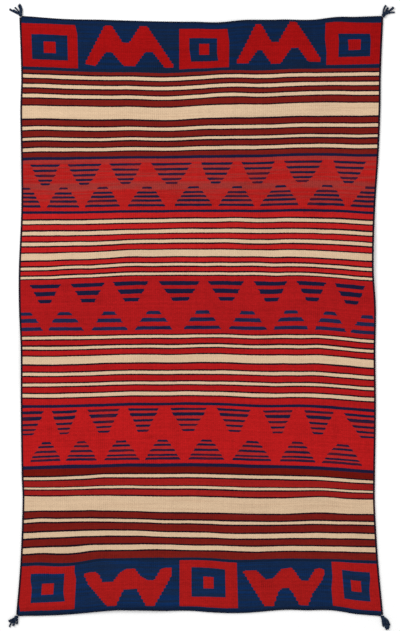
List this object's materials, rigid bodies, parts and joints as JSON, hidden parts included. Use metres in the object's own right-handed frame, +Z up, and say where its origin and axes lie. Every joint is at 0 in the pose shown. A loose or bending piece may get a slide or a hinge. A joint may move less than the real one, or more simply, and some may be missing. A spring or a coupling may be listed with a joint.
{
  "type": "navajo rug",
  "caption": "Flat handwoven wool rug with banded pattern, twined edge cords and knotted corner tassels, to lie on a floor or other flat surface.",
  "frame": {"origin": "middle of the underside, on the surface that the rug lies on", "axes": "+X across the web to the right, +Y along the warps to the head, +Z up from the surface"},
  "size_m": [0.8495, 1.3761, 0.007],
  "materials": {
    "woven_wool": "matt weft-faced wool weave, red with ivory, dark red and navy",
    "cord_wool": "matt plied wool cord, navy",
    "tassel_wool": "matt wool yarn, navy, slightly frayed"
  },
  "bodies": {
    "root": {"cloth": "woven_wool", "side_cord_left": "cord_wool", "side_cord_right": "cord_wool", "end_cord_bottom": "cord_wool", "end_cord_top": "cord_wool", "tassel_bottom_left": "tassel_wool", "tassel_bottom_right": "tassel_wool", "tassel_top_left": "tassel_wool", "tassel_top_right": "tassel_wool"}
  },
  "joints": []
}
